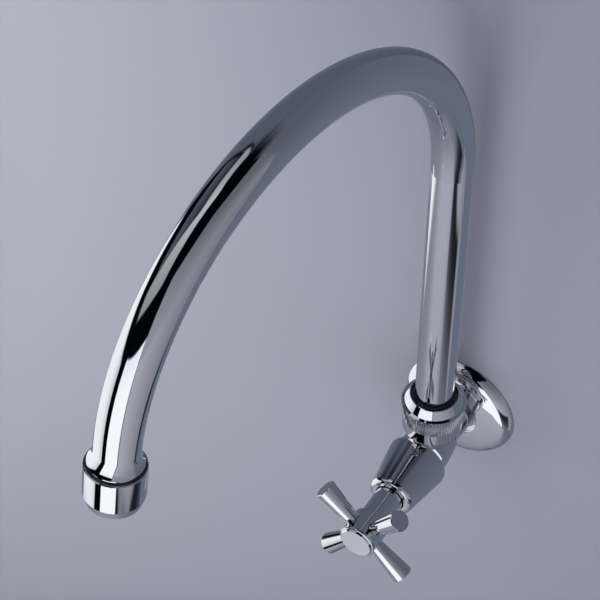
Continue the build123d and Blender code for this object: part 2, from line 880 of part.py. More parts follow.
# Plain cap pressed into the front of the hub
with BuildPart() as index_cap:
    with BuildSketch(valve_section):
        with BuildLine():
            Polyline(
                (hub_front - cap_spigot, cap_spigot_r - cap_wall),
                (hub_front - cap_spigot, cap_spigot_r),
                (hub_front, cap_spigot_r),
                (hub_front, cap_r),
                (hub_front + cap_rim, cap_r),
                (hub_front + cap_rim, cap_bevel_r),
                (hub_front + cap_rim + cap_bevel, cap_face_r),
                (hub_front + cap_rim + cap_bevel, 0),
                (hub_front, 0),
                (hub_front, cap_spigot_r - cap_wall),
                close=True,
            )
        make_face()
    revolve(axis=valve_axis)
    fillet(round_edge(index_cap, hub_front + cap_rim, cap_r), radius=cap_rim_edge)
write(index_cap.part, "index_cap")
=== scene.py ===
import math

import bpy
from mathutils import Matrix, Vector


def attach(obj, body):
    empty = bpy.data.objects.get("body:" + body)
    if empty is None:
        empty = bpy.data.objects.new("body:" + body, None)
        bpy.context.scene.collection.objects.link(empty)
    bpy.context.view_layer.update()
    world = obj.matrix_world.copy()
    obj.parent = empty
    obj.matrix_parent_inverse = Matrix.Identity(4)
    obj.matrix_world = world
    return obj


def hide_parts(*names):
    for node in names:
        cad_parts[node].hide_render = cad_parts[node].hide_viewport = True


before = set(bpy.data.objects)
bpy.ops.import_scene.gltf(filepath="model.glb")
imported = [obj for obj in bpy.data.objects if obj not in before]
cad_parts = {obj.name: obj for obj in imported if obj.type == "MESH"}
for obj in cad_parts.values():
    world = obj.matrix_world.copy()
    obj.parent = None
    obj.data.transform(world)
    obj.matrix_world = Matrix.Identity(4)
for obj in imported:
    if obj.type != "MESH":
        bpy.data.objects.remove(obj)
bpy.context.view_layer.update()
print("frame loaded:", len(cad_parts), "nodes")


def fromSrgb(red, green, blue):
    # 0 to 255 as an image shows it, turned into the linear colour that shaders take
    linear = []
    for value in (red, green, blue):
        share = value / 255
        linear.append(share / 12.92 if share <= 0.04045 else ((share + 0.055) / 1.055) ** 2.4)
    return (*linear, 1.0)


def addMesh(name, vertices, faces):
    mesh = bpy.data.meshes.new(name)
    mesh.from_pydata(vertices, [], faces)
    piece = bpy.data.objects.new(name, mesh)
    bpy.context.collection.objects.link(piece)
    return piece


# Small helpers for node trees

def feed(tree, node, inputs):
    # A socket is linked to the input, and anything else is set on it
    for name, value in inputs.items():
        if isinstance(value, bpy.types.NodeSocket):
            tree.links.new(value, node.inputs[name])
        else:
            node.inputs[name].default_value = value


def addNode(tree, kind, inputs=None, **settings):
    node = tree.nodes.new(kind)
    for name, value in settings.items():
        setattr(node, name, value)
    feed(tree, node, inputs or {})
    return node


def doMath(tree, operation, first, second=0.0):
    return addNode(tree, "ShaderNodeMath", {0: first, 1: second}, operation=operation).outputs[0]


def mixColour(tree, factor, first, second):
    mix = addNode(tree, "ShaderNodeMix", {0: factor, 6: first, 7: second}, data_type="RGBA")
    return mix.outputs[2]


def mapRange(tree, value, start, full, **settings):
    # 0 at start and 1 at full
    return addNode(tree, "ShaderNodeMapRange",
                   {"Value": value, "From Min": start, "From Max": full}, **settings).outputs[0]


def addNoise(tree, place, size, detail, **inputs):
    values = {"Vector": place, "Scale": size, "Detail": detail, **inputs}
    return addNode(tree, "ShaderNodeTexNoise", values).outputs["Fac"]


def objectPlace(tree):
    return addNode(tree, "ShaderNodeTexCoord").outputs["Object"]


def newGroup(name, inputs, outputs):
    group = bpy.data.node_groups.new(name, "ShaderNodeTree")
    for socketName, kind, value in inputs:
        socket = group.interface.new_socket(name=socketName, in_out="INPUT", socket_type=kind)
        socket.default_value = value
    for socketName, kind in outputs:
        group.interface.new_socket(name=socketName, in_out="OUTPUT", socket_type=kind)
    return group, group.nodes.new("NodeGroupInput"), group.nodes.new("NodeGroupOutput")


def placeGroup(tree, group, inputs):
    return addNode(tree, "ShaderNodeGroup", inputs, node_tree=group)


def newMaterial(name, metallic=0.0):
    material = bpy.data.materials.new(name)
    material.use_nodes = True
    shader = material.node_tree.nodes["Principled BSDF"]
    shader.inputs["Metallic"].default_value = metallic
    return material, material.node_tree, shader


def addBump(tree, shader, height, depth):
    bump = addNode(tree, "ShaderNodeBump", {"Strength": 1.0, "Distance": depth, "Height": height})
    feed(tree, shader, {"Normal": bump.outputs["Normal"]})


# Effects that several finishes share

handling = {
    "smearDetail": 4.0,
    "smearBreakup": 0.55,
    "smearFrom": 0.42,
    "smearFull": 0.75,
    "hairDetail": 2.0,
    "hairStretch": (1.0, 0.12, 0.12),
    "hairFrom": 0.6,
    "hairFull": 0.8,
}


def makeHandlingGroup(look):
    # Faint smears and hairline marks of a used, wiped surface
    group, source, target = newGroup(
        "handlingMarks",
        [("Smear Size", "NodeSocketFloat", 40.0), ("Smear", "NodeSocketFloat", 0.02),
         ("Hairline Size", "NodeSocketFloat", 900.0), ("Hairline", "NodeSocketFloat", 0.01),
         ("Base Roughness", "NodeSocketFloat", 0.05)],
        [("Roughness", "NodeSocketFloat"), ("Height", "NodeSocketFloat")],
    )
    place = objectPlace(group)
    smears = addNoise(group, place, source.outputs["Smear Size"], look["smearDetail"],
                      Roughness=look["smearBreakup"])
    smearMask = mapRange(group, smears, look["smearFrom"], look["smearFull"])
    stretched = addNode(group, "ShaderNodeVectorMath", {0: place, 1: look["hairStretch"]},
                        operation="MULTIPLY").outputs[0]
    hairs = addNoise(group, stretched, source.outputs["Hairline Size"], look["hairDetail"])
    hairMask = mapRange(group, hairs, look["hairFrom"], look["hairFull"])
    smeared = doMath(group, "MULTIPLY", smearMask, source.outputs["Smear"])
    haired = doMath(group, "MULTIPLY", hairMask, source.outputs["Hairline"])
    rough = doMath(group, "ADD", source.outputs["Base Roughness"],
                   doMath(group, "ADD", smeared, haired))
    feed(group, target, {"Roughness": rough, "Height": hairs})
    return group


lathe = {
    "driftSize": 5.0,    # of the change in depth from ring to ring
    "driftDetail": 1.0,
}


def makeLatheGroup(look):
    # Fine rings left by a cutting tool, square to an axis given by its direction
    group, source, target = newGroup(
        "latheRings",
        [("Axis", "NodeSocketVector", (0.0, 1.0, 0.0)), ("Pitch", "NodeSocketFloat", 0.0003)],
        [("Height", "NodeSocketFloat")],
    )
    along = addNode(group, "ShaderNodeVectorMath",
                    {0: objectPlace(group), 1: source.outputs["Axis"]}, operation="DOT_PRODUCT")
    turns = doMath(group, "DIVIDE", along.outputs["Value"], source.outputs["Pitch"])
    wave = doMath(group, "SINE", doMath(group, "MULTIPLY", turns, 2 * math.pi))
    drift = addNode(group, "ShaderNodeTexNoise",
                    {"Scale": look["driftSize"], "Detail": look["driftDetail"]},
                    noise_dimensions="1D")
    feed(group, drift, {"W": turns})
    feed(group, target, {"Height": doMath(group, "MULTIPLY", wave, drift.outputs["Fac"])})
    return group


handlingMarks = makeHandlingGroup(handling)
latheRings = makeLatheGroup(lathe)


def placeMarks(tree, look):
    return placeGroup(tree, handlingMarks, {
        "Smear Size": look["smearSize"], "Smear": look["smear"],
        "Hairline Size": look["hairlineSize"], "Hairline": look["hairline"],
        "Base Roughness": look["roughness"],
    })


chromeFinish = {
    "colour": (0.86, 0.87, 0.89, 1.0),
    "deepColour": (0.82, 0.83, 0.86, 1.0),
    "toneShare": 0.6,    # of the smears' size
    "toneDetail": 2.0,
    "roughness": 0.035,
    "smear": 0.035,
    "smearSize": 70.0,
    "hairline": 0.02,
    "hairlineSize": 1400.0,
    "waviness": 0.000004,
    "wavinessSize": 55.0,
    "wavinessDetail": 1.0,
}
spoutFinish = {**chromeFinish, "smearSize": 45.0}

# The buffing wheel doesn't reach down between the nut's reeds, so the nut's reeded skirt is rougher
# and a touch darker; round the neck behind the body the chrome is rougher and painted much darker,
# a painted shade where the neck runs back to the wall flange
nutFinish = {**chromeFinish, "dull": {
    "axis": "Z", "start": 0.0318, "full": 0.0314,
    "roughness": 0.13, "colour": (0.84, 0.85, 0.87, 1.0),
}}
# Painted shade: the neck towards the wall turns dark grey
castFinish = {**chromeFinish, "dull": {
    "axis": "Y", "start": -0.0168, "full": -0.0155,
    "roughness": 0.16, "colour": (0.5, 0.51, 0.54, 1.0),
}}


def makeChrome(name, look):
    material, tree, shader = newMaterial(name, metallic=1.0)
    marks = placeMarks(tree, look)
    place = objectPlace(tree)
    tone = addNoise(tree, place, look["smearSize"] * look["toneShare"], look["toneDetail"])
    colour = mixColour(tree, tone, look["colour"], look["deepColour"])
    roughness = marks.outputs["Roughness"]
    if "dull" in look:
        dull = look["dull"]
        split = addNode(tree, "ShaderNodeSeparateXYZ", {0: place})
        share = mapRange(tree, split.outputs[dull["axis"]], dull["start"], dull["full"])
        roughness = doMath(tree, "ADD", roughness,
                           doMath(tree, "MULTIPLY", share, dull["roughness"]))
        # The colour turns to the given darker colour, which on the cast body's neck is painted
        # shade
        colour = mixColour(tree, share, colour, dull["colour"])
    feed(tree, shader, {"Base Color": colour, "Roughness": roughness})
    waves = addNoise(tree, place, look["wavinessSize"], look["wavinessDetail"])
    addBump(tree, shader, waves, look["waviness"])
    return material


brassFinish = {
    "colour": (0.78, 0.60, 0.30, 1.0),
    "dullColour": (0.52, 0.38, 0.18, 1.0),
    "tarnishSize": 160.0,
    "tarnishDetail": 5.0,
    "roughness": 0.22,
    "smear": 0.25,
    "smearSize": 120.0,
    "hairline": 0.08,
    "hairlineSize": 700.0,
    "ringPitch": 0.00035,
    "ringDepth": 0.00002,
}
valveBrassFinish = {**brassFinish, "axis": (0.0, 1.0, 0.0)}
spoutBrassFinish = {**brassFinish, "axis": (0.0, 0.0, 1.0)}


def makeBrass(name, look):
    material, tree, shader = newMaterial(name, metallic=1.0)
    rings = placeGroup(tree, latheRings, {"Axis": look["axis"], "Pitch": look["ringPitch"]})
    marks = placeMarks(tree, look)
    tarnish = addNoise(tree, objectPlace(tree), look["tarnishSize"], look["tarnishDetail"])
    feed(tree, shader, {
        "Base Color": mixColour(tree, tarnish, look["colour"], look["dullColour"]),
        "Roughness": marks.outputs["Roughness"],
    })
    addBump(tree, shader, rings.outputs["Height"], look["ringDepth"])
    return material


mouldedFinish = {
    "smear": 0.2,
    "smearSize": 90.0,
    "hairline": 0.05,
    "hairlineSize": 500.0,
    "bloomSize": 200.0,
    "bloomDetail": 3.0,
    "grainSize": 900.0,
    "grainDetail": 2.0,
    "grainDepth": 0.000003,
}
seatRubberFinish = {
    **mouldedFinish,
    "colour": (0.035, 0.042, 0.056, 1.0),
    "paleColour": (0.055, 0.064, 0.082, 1.0),
    "roughness": 0.22,
}
blackRubberFinish = {
    **mouldedFinish,
    "colour": (0.02, 0.022, 0.026, 1.0),
    "paleColour": (0.04, 0.042, 0.048, 1.0),
    "roughness": 0.14,
}
greyPlasticFinish = {
    **mouldedFinish,
    "colour": (0.62, 0.63, 0.64, 1.0),
    "paleColour": (0.7, 0.71, 0.72, 1.0),
    "roughness": 0.35,
    "grainSize": 1200.0,
    "grainDepth": 0.000006,
}


def makeMoulded(name, look):
    # Rubber and plastic: an even colour, a moulded grain and a little bloom
    material, tree, shader = newMaterial(name)
    marks = placeMarks(tree, look)
    place = objectPlace(tree)
    bloom = addNoise(tree, place, look["bloomSize"], look["bloomDetail"])
    grain = addNoise(tree, place, look["grainSize"], look["grainDetail"])
    feed(tree, shader, {
        "Base Color": mixColour(tree, bloom, look["colour"], look["paleColour"]),
        "Roughness": marks.outputs["Roughness"],
    })
    addBump(tree, shader, grain, look["grainDepth"])
    return material


steelFinish = {
    "colour": (0.55, 0.55, 0.56, 1.0),
    "deepColour": (0.42, 0.42, 0.44, 1.0),
    "toneSize": 300.0,
    "toneDetail": 3.0,
    "roughness": 0.28,
    "smear": 0.1,
    "smearSize": 150.0,
    "hairline": 0.15,
    "hairlineSize": 1100.0,
    "hairlineDepth": 0.000005,
}


def makeSteel(name, look):
    material, tree, shader = newMaterial(name, metallic=1.0)
    marks = placeMarks(tree, look)
    tone = addNoise(tree, objectPlace(tree), look["toneSize"], look["toneDetail"])
    feed(tree, shader, {
        "Base Color": mixColour(tree, tone, look["colour"], look["deepColour"]),
        "Roughness": marks.outputs["Roughness"],
    })
    addBump(tree, shader, marks.outputs["Height"], look["hairlineDepth"])
    return material


finishes = {
    "spoutChrome": makeChrome("spoutChrome", spoutFinish),
    "bodyChrome": makeChrome("bodyChrome", chromeFinish),
    "nutChrome": makeChrome("nutChrome", nutFinish),
    "castChrome": makeChrome("castChrome", castFinish),
    "valveBrass": makeBrass("valveBrass", valveBrassFinish),
    "spoutBrass": makeBrass("spoutBrass", spoutBrassFinish),
    "seatRubber": makeMoulded("seatRubber", seatRubberFinish),
    "blackRubber": makeMoulded("blackRubber", blackRubberFinish),
    "greyPlastic": makeMoulded("greyPlastic", greyPlasticFinish),
    "plainSteel": makeSteel("plainSteel", steelFinish),
}
nodeFinishes = {
    "spoutChrome": ["spout_tube", "aerator_shell"],
    "nutChrome": ["spout_nut"],
    "castChrome": ["tap_body"],
    "bodyChrome": ["wall_flange", "bonnet_cover", "handle_hub", "handle_arm_1",
                   "handle_arm_2", "handle_arm_3", "handle_arm_4", "index_cap"],
    "valveBrass": ["headwork_body", "gland_nut", "jumper_valve", "washer_nut", "spindle"],
    "spoutBrass": ["spout_tail", "outlet_insert"],
    "seatRubber": ["dust_ring"],
    "blackRubber": ["flange_gasket", "headwork_gasket", "seat_washer", "tail_seal_1",
                    "tail_seal_2", "sleeve_gasket", "aerator_washer"],
    "greyPlastic": ["slip_ring", "gland_packing", "aerator_diffuser", "flow_straightener"],
    "plainSteel": ["handle_screw", "aerator_screens"],
}
for finishName, nodeNames in nodeFinishes.items():
    for nodeName in nodeNames:
        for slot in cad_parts[nodeName].material_slots:
            slot.material = finishes[finishName]
print("finishes placed")

# Pipe thread on the inlet, a ridge wound round the shank
inletThread = {
    "coreRadius": 0.0104,
    "crestRadius": 0.01072,
    "pitch": 0.001814,
    "start": 0.0004,
    "end": 0.0128,
    "stepsPerTurn": 48,
    "runOutSteps": 12,        # over which the ridge fades in and out
    "crestShare": 0.18,       # width of the crest in pitches
    "halfBaseShare": 0.46,    # half the width of the foot in pitches
}


def buildInletThread(look):
    # The ridge keeps half a pitch clear of the start and of the end
    turns = (look["end"] - look["start"]) / look["pitch"] - 1
    count = int(turns * look["stepsPerTurn"])
    halfCrest = look["pitch"] * look["crestShare"] / 2
    halfBase = look["pitch"] * look["halfBaseShare"]
    sides = 4
    vertices = []
    faces = []
    for step in range(count + 1):
        angle = 2 * math.pi * step / look["stepsPerTurn"]
        lead = look["start"] + look["pitch"] * (0.5 + step / look["stepsPerTurn"])
        runOut = min(1.0, step / look["runOutSteps"], (count - step) / look["runOutSteps"])
        crest = look["coreRadius"] + (look["crestRadius"] - look["coreRadius"]) * runOut
        for offset, radius in ((-halfBase, look["coreRadius"]), (-halfCrest, crest),
                               (halfCrest, crest), (halfBase, look["coreRadius"])):
            vertices.append((radius * math.sin(angle), lead + offset, radius * math.cos(angle)))
    for step in range(count):
        for side in range(sides):
            nextSide = (side + 1) % sides
            here, there = step * sides, (step + 1) * sides
            faces.append((here + side, there + side, there + nextSide, here + nextSide))
    faces.append(tuple(range(sides)))
    faces.append(tuple(count * sides + side for side in reversed(range(sides))))
    thread = addMesh("inletThread", vertices, faces)
    thread.data.materials.append(finishes["bodyChrome"])
    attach(thread, "tap_body")


buildInletThread(inletThread)
print("inlet thread made")

# Wall flange: a pressed cover whose face domes gently and turns down into a rounded edge
coverFlange = {
    # Radius, and slope of the skin there in degrees, from the edge in
    "slopes": [(0.0285, 80), (0.0282, 72), (0.0276, 60), (0.0268, 49), (0.026, 40),
               (0.0252, 31), (0.0242, 19), (0.022, 9), (0.018, 5), (0.0124, 3)],
    "stepsPerSlope": 8,
    "wall": 0.0012,
    "lip": 0.0006,
    "lipSteps": 8,
    "sleeveRadius": 0.01162,
    "shankRadius": 0.01052,
    "sleeveFront": 0.0049,
    "sleeveBack": 0.0015,
    "segments": 180,
    "sharpAngle": 35,
}


def flangeProfile(look):
    # Points as distance from the wall and radius, once round the section
    skin = [(0.0, look["slopes"][0][0], look["slopes"][0][1])]
    for (outer, outerSlope), (inner, innerSlope) in zip(look["slopes"], look["slopes"][1:]):
        for step in range(look["stepsPerSlope"]):
            share = (step + 1) / look["stepsPerSlope"]
            radius = outer + (inner - outer) * share
            slope = outerSlope + (innerSlope - outerSlope) * share
            lastHeight, lastRadius, lastSlope = skin[-1]
            rise = (lastRadius - radius) * math.tan(math.radians((slope + lastSlope) / 2))
            skin.append((lastHeight + rise, radius, slope))
    profile = [(height, radius) for height, radius, slope in skin]
    crown, lastRadius = profile[-1]
    lip = lastRadius - look["sleeveRadius"]
    for step in range(1, look["lipSteps"] + 1):
        turn = math.radians(90 * step / look["lipSteps"])
        profile.append((crown - look["lip"] * (1 - math.cos(turn)),
                        lastRadius - lip * math.sin(turn)))
    backWidth = look["sleeveRadius"] + look["wall"]
    profile += [(look["sleeveFront"], look["sleeveRadius"]),
                (look["sleeveFront"], look["shankRadius"]),
                (look["sleeveBack"], look["shankRadius"]),
                (look["sleeveBack"], backWidth)]
    for height, radius, slope in reversed(skin):
        turn = math.radians(slope)
        inside = (height - look["wall"] * math.cos(turn), radius - look["wall"] * math.sin(turn))
        if inside[0] > 0 and inside[1] > backWidth:
            profile.append(inside)
    profile.append((0.0, profile[-1][1]))
    return profile


def buildCoverFlange(look):
    profile = flangeProfile(look)
    count = len(profile)
    vertices = []
    faces = []
    for segment in range(look["segments"]):
        angle = 2 * math.pi * segment / look["segments"]
        vertices += [(radius * math.sin(angle), -height, radius * math.cos(angle))
                     for height, radius in profile]
        following = (segment + 1) % look["segments"]
        for point in range(count):
            after = (point + 1) % count
            faces.append((segment * count + point, segment * count + after,
                          following * count + after, following * count + point))
    flange = addMesh("coverFlange", vertices, faces)
    flange.data.polygons.foreach_set("use_smooth", [True] * len(faces))
    flange.data.set_sharp_from_angle(angle=math.radians(look["sharpAngle"]))
    flange.data.materials.append(finishes["bodyChrome"])
    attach(flange, "tap_body")
    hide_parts("wall_flange")


buildCoverFlange(coverFlange)
print("wall flange made")

# Room: a grey-blue wall that the tap is fixed to, with light and shade painted into its colour, and
# a pale floor well below it
room = {
    "wallWidth": 4.0,
    "wallHeight": 3.0,
    "wallColour": fromSrgb(169, 170, 176),
    "wallPaintedShade": fromSrgb(131, 134, 145),
    "wallRoughness": 0.9,
    "wallGap": 0.0001,
    # The wall's painted light is slopeX X + curveX X X - twist X Z - slopeZ Z - curveZ Z Z, in
    # metres
    "slopeX": -0.40,
    "curveX": 0.55,
    "twist": 0.35,
    "slopeZ": 0.04,
    "curveZ": 0.62,
    "lightest": 0.13,
    "darkest": -0.067,
    "floorHeight": -0.75,
    "floorSize": 6.0,
    "floorColour": fromSrgb(240, 241, 243),
    "floorRoughness": 0.8,
}


def makePlane(name, corners):
    plane = addMesh(name, corners, [(0, 1, 2, 3)])
    plane.visible_glossy = False
    return plane


def makeWallMaterial(look):
    # Seen from the front only, so that the back of the tap can be looked at
    material, tree, shader = newMaterial("paintedWall")
    feed(tree, shader, {"Roughness": look["wallRoughness"], "Specular IOR Level": 0.0})
    split = addNode(tree, "ShaderNodeSeparateXYZ", {0: objectPlace(tree)})
    x, z = split.outputs["X"], split.outputs["Z"]
    # Painted light and shade: the colour is brightest on the left at the tap's height, and painted
    # darker to the right, top and bottom
    bend = doMath(tree, "SUBTRACT", doMath(tree, "MULTIPLY", x, look["curveX"]),
                  doMath(tree, "MULTIPLY", z, look["twist"]))
    across = doMath(tree, "MULTIPLY", x, doMath(tree, "ADD", look["slopeX"], bend))
    rise = doMath(tree, "MULTIPLY", z, look["curveZ"])
    upright = doMath(tree, "MULTIPLY", z, doMath(tree, "ADD", look["slopeZ"], rise))
    shade = mapRange(tree, doMath(tree, "SUBTRACT", across, upright),
                     look["lightest"], look["darkest"])
    feed(tree, shader, {
        "Base Color": mixColour(tree, shade, look["wallColour"], look["wallPaintedShade"])})
    clear = tree.nodes.new("ShaderNodeBsdfTransparent")
    facing = addNode(tree, "ShaderNodeNewGeometry").outputs["Backfacing"]
    mix = addNode(tree, "ShaderNodeMixShader",
                  {0: facing, 1: shader.outputs["BSDF"], 2: clear.outputs["BSDF"]})
    feed(tree, tree.nodes["Material Output"], {"Surface": mix.outputs[0]})
    return material


def makeFloorMaterial(look):
    material, tree, shader = newMaterial("paleFloor")
    feed(tree, shader, {"Base Color": look["floorColour"], "Roughness": look["floorRoughness"]})
    return material


def buildRoom(look):
    half = look["wallWidth"] / 2
    face, foot = look["wallGap"], look["floorHeight"]
    top = foot + look["wallHeight"]
    wall = makePlane("wall", [(-half, face, foot), (half, face, foot),
                              (half, face, top), (-half, face, top)])
    wall.data.materials.append(makeWallMaterial(look))
    half = look["floorSize"] / 2
    floor = makePlane("floor", [(-half, -half, foot), (half, -half, foot),
                                (half, half, foot), (-half, half, foot)])
    floor.data.materials.append(makeFloorMaterial(look))


buildRoom(room)
print("room made")

# Studio light: soft panels round the object, each a four-sided patch of the sky.
# Azimuth is 0 straight out from the wall and grows towards +X, elevation is above the level,
# both in degrees. A side's place is where it crosses azimuth or elevation 0, and its slant is
# its drift per degree. A panel turns from its colour to its farColour as fadeStart, plus
# azimuth and elevation times their rates, goes from 0 to 1. Later panels lie over earlier ones.
panels = {
    "wallLeft": {
        "left": -400, "right": -112, "bottom": -60, "top": 70, "softness": 3, "topSoftness": 24,
        "colour": (94, 101, 118), "farColour": (80, 86, 99),
        "fadeStart": 0.7, "fadeElevation": 0.03},
    "wallLeftEdge": {
        "left": -400, "right": -160, "bottom": -88, "top": 8, "softness": 20,
        "colour": (78, 85, 99)},
    "wallRight": {
        "left": 104, "right": 400, "bottom": -80, "top": 46, "topSlant": 0.16,
        "softness": 3, "topSoftness": 22, "colour": (98, 106, 121), "farColour": (84, 89, 101),
        "fadeStart": 0.283, "fadeAzimuth": 0.0014, "fadeElevation": 0.0119},
    "shelfTop": {
        "left": -122, "right": 12, "rightSlant": -0.8, "bottom": 54.5, "top": 75,
        "softness": 4, "topSoftness": 5, "colour": (175, 175, 181), "farColour": (142, 145, 151),
        "fadeStart": -1.26, "fadeAzimuth": -0.0208},
    "shelfSide": {
        "left": -67.5, "right": 12, "rightSlant": -0.75, "bottom": 54, "bottomSlant": 0.79,
        "top": 75, "floor": 14, "softness": 4,
        "colour": (178, 179, 185), "farColour": (141, 142, 148),
        "fadeStart": 2.4, "fadeAzimuth": 0.0156, "fadeElevation": -0.0262},
    "shelfInside": {
        "left": -109, "right": -68, "bottom": 17.5, "top": 54.5, "softness": 4,
        "colour": (77, 77, 86), "farColour": (42, 43, 50),
        "fadeStart": -1.0, "fadeElevation": 0.039},
    "shelfJoint": {
        "left": -98, "leftSlant": -0.42, "right": -93, "rightSlant": -0.42,
        "bottom": 35, "top": 70, "softness": 4, "colour": (22, 24, 30)},
    "sideWallHigh": {
        "left": 27.5, "leftSlant": -0.215, "right": 105.5, "bottom": 2, "top": 33,
        "topSlant": 0.48, "ceiling": 58, "softness": 3,
        "colour": (152, 152, 162), "farColour": (96, 96, 104),
        "fadeStart": -0.2, "fadeAzimuth": 0.0062, "fadeElevation": 0.016},
    "sideWallLow": {
        "left": 27.5, "leftSlant": -0.215, "right": 105.5, "bottom": -35.5,
        "bottomSlant": -0.155, "top": 5, "softness": 3,
        "colour": (164, 164, 174), "farColour": (119, 119, 129),
        "fadeStart": -0.482, "fadeAzimuth": 0.0148, "fadeElevation": 0.0053},
    "leftSoftbox": {
        "left": -101.3, "leftSlant": 0.667, "right": -44, "rightSlant": -0.31,
        "bottom": -38.8, "bottomSlant": 0.095, "top": 16.5, "topSlant": 0.25,
        "ceiling": 0, "softness": 4, "colour": (240, 238, 243), "farColour": (203, 204, 210),
        "fadeStart": 2.99, "fadeAzimuth": 0.0406, "fadeElevation": 0.02},
    "softboxGap": {
        "left": -23, "leftSlant": 0.333, "right": -16, "bottom": -42.7, "top": -30,
        "softness": 2, "colour": (3, 4, 10)},
    "softboxFoot": {
        "left": 30, "right": -48, "rightSlant": -2.1, "bottom": -43.6, "top": -33,
        "softness": 2, "colour": (8, 9, 15)},
    "softboxCorner": {
        "left": -400, "right": -98, "bottom": -80, "top": -44.3, "softness": 2,
        "colour": (114, 120, 135)},
    "frontSoftbox": {
        "left": -22.4, "leftSlant": -0.19, "right": 25.8, "rightSlant": -0.18,
        "bottom": -42.7, "top": 13, "topSlant": 0.162, "softness": 2,
        "colour": (250, 251, 254), "farColour": (230, 234, 244),
        "fadeStart": 0.2, "fadeAzimuth": -0.01, "fadeElevation": 0.06},
    "lowerRoom": {
        "left": -400, "right": 54, "bottom": -100, "top": -38.8, "topSlant": 0.095,
        "ceiling": -43.2, "softness": 2, "topSoftness": 1,
        "colour": (134, 135, 145), "farColour": (101, 108, 124),
        "fadeStart": -1.3, "fadeAzimuth": -0.0072, "fadeElevation": -0.0206},
    "lowerSide": {
        "left": 46, "right": 400, "bottom": -100, "top": -35.5, "topSlant": -0.155,
        "softness": 14, "topSoftness": 2, "colour": (122, 123, 132), "farColour": (97, 104, 118),
        "fadeStart": 1.725, "fadeAzimuth": 0.0168, "fadeElevation": 0.0363},
    "lowerGlow": {
        "left": -38, "right": 38, "bottom": -92, "top": -43.2, "softness": 40,
        "topSoftness": 1, "colour": (166, 166, 178), "farColour": (121, 124, 134),
        "fadeStart": -1.484, "fadeElevation": -0.0335},
    "tableGlow": {
        "left": -31.5, "right": -26.5, "bottom": -55.3, "top": -52.7, "softness": 2,
        "colour": (188, 187, 198)},
    "underfoot": {
        "left": -400, "right": 400, "bottom": -100, "top": -86.5, "softness": 2,
        "colour": (30, 32, 40)},
}
# What a panel has where it doesn't say otherwise; its topSoftness is then its softness
panelDefaults = {
    "left": -20.0, "leftSlant": 0.0, "right": 20.0, "rightSlant": 0.0,
    "bottom": -20.0, "bottomSlant": 0.0, "top": 20.0, "topSlant": 0.0,
    "floor": -200.0, "ceiling": 200.0, "softness": 3.0, "topSoftness": 3.0,
    "fadeStart": 0.0, "fadeAzimuth": 0.0, "fadeElevation": 0.0,
}
studio = {
    "reflectedShare": 0.88,    # what the chrome sends back, so that a panel's colour is as it shows
    "backgroundColour": (226, 227, 231),
    "diffuseGain": 4.3,
    "rimColour": (3, 4, 10),
}


def socketLabel(key):
    # "fadeStart" becomes "Fade Start"
    return "".join(" " + letter if letter.isupper() else letter for letter in key).title()


def makePanelGroup():
    group, source, target = newGroup(
        "studioPanel",
        [("Azimuth", "NodeSocketFloat", 0.0), ("Elevation", "NodeSocketFloat", 0.0)]
        + [(socketLabel(key), "NodeSocketFloat", value) for key, value in panelDefaults.items()],
        [("Mask", "NodeSocketFloat"), ("Fade", "NodeSocketFloat")],
    )
    azimuth = source.outputs["Azimuth"]
    elevation = source.outputs["Elevation"]

    def sideDistance(side, along, across):
        drift = doMath(group, "MULTIPLY", source.outputs[side + " Slant"], along)
        return doMath(group, "SUBTRACT", across,
                      doMath(group, "ADD", source.outputs[side], drift))

    def fade(distance, softness, sign):
        # Half of the softness lies on each side of the edge
        share = doMath(group, "DIVIDE", doMath(group, "MULTIPLY", distance, sign),
                       source.outputs[softness])
        return mapRange(group, share, -0.5, 0.5, interpolation_type="SMOOTHSTEP")

    masks = [
        fade(sideDistance("Left", elevation, azimuth), "Softness", 1.0),
        fade(sideDistance("Right", elevation, azimuth), "Softness", -1.0),
        fade(sideDistance("Bottom", azimuth, elevation), "Softness", 1.0),
        fade(sideDistance("Top", azimuth, elevation), "Top Softness", -1.0),
        fade(doMath(group, "SUBTRACT", elevation, source.outputs["Floor"]), "Softness", 1.0),
        fade(doMath(group, "SUBTRACT", elevation, source.outputs["Ceiling"]),
             "Top Softness", -1.0),
    ]
    whole = masks[0]
    for mask in masks[1:]:
        whole = doMath(group, "MULTIPLY", whole, mask)
    drift = doMath(group, "ADD",
                   doMath(group, "MULTIPLY", source.outputs["Fade Azimuth"], azimuth),
                   doMath(group, "MULTIPLY", source.outputs["Fade Elevation"], elevation))
    total = addNode(group, "ShaderNodeMath", {0: source.outputs["Fade Start"], 1: drift},
                    operation="ADD", use_clamp=True)
    feed(group, target, {"Mask": whole, "Fade": total.outputs[0]})
    return group


